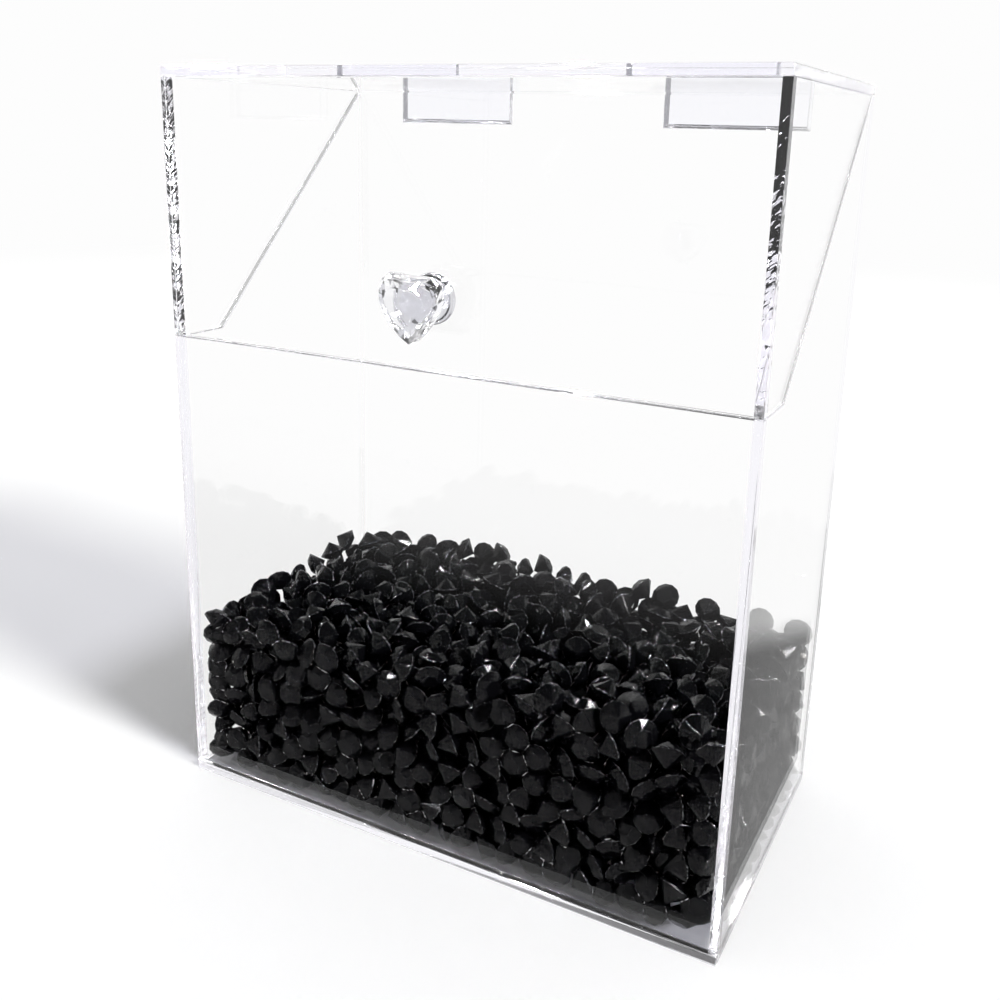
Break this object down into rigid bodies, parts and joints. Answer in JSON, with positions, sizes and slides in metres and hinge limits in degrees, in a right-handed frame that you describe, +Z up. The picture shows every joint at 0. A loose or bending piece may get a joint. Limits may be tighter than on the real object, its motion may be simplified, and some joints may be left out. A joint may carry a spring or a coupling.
{
  "type": "lidded brush holder",
  "caption": "Clear acrylic make-up brush box with a back-hinged dust lid, a faceted heart knob and a bed of loose black gems.",
  "frame": {"origin": "middle of the underside of the bottom plate, which stands on the table", "axes": "+Z up, +X to the right, -Y to the front, where the knob is, and +Y to the back, where the hinges are"},
  "size_m": [0.19, 0.1222, 0.2426],
  "materials": {
    "clear_acrylic": "clear polished acrylic sheet",
    "moulded_hinge": "clear moulded plastic",
    "black_gem": "black moulded acrylic gem, high gloss",
    "crystal": "clear cut crystal",
    "knob_metal": "bright chrome plate"
  },
  "bodies": {
    "box": {"bottom_plate": "clear_acrylic", "front_panel": "clear_acrylic", "back_panel": "clear_acrylic", "left_side_panel": "clear_acrylic", "right_side_panel": "clear_acrylic", "left_hinge_box_leaf": "moulded_hinge", "right_hinge_box_leaf": "moulded_hinge", "left_hinge_pin": "moulded_hinge", "right_hinge_pin": "moulded_hinge", "gem_bed": "black_gem", "top_gems": "black_gem"},
    "lid": {"lid_top": "clear_acrylic", "lid_front": "clear_acrylic", "lid_left_side": "clear_acrylic", "lid_right_side": "clear_acrylic", "left_hinge_lid_leaf": "moulded_hinge", "right_hinge_lid_leaf": "moulded_hinge", "knob_base": "knob_metal", "knob_heart": "crystal", "knob_screw": "knob_metal", "knob_washer": "knob_metal"}
  },
  "joints": [
    {"name": "lid_hinge", "type": "hinge", "parent": "box", "child": "lid", "pos_m": [0, 0.0533, 0.2403], "axis": [-1, 0, 0], "range_deg": [0, 270]}
  ]
}
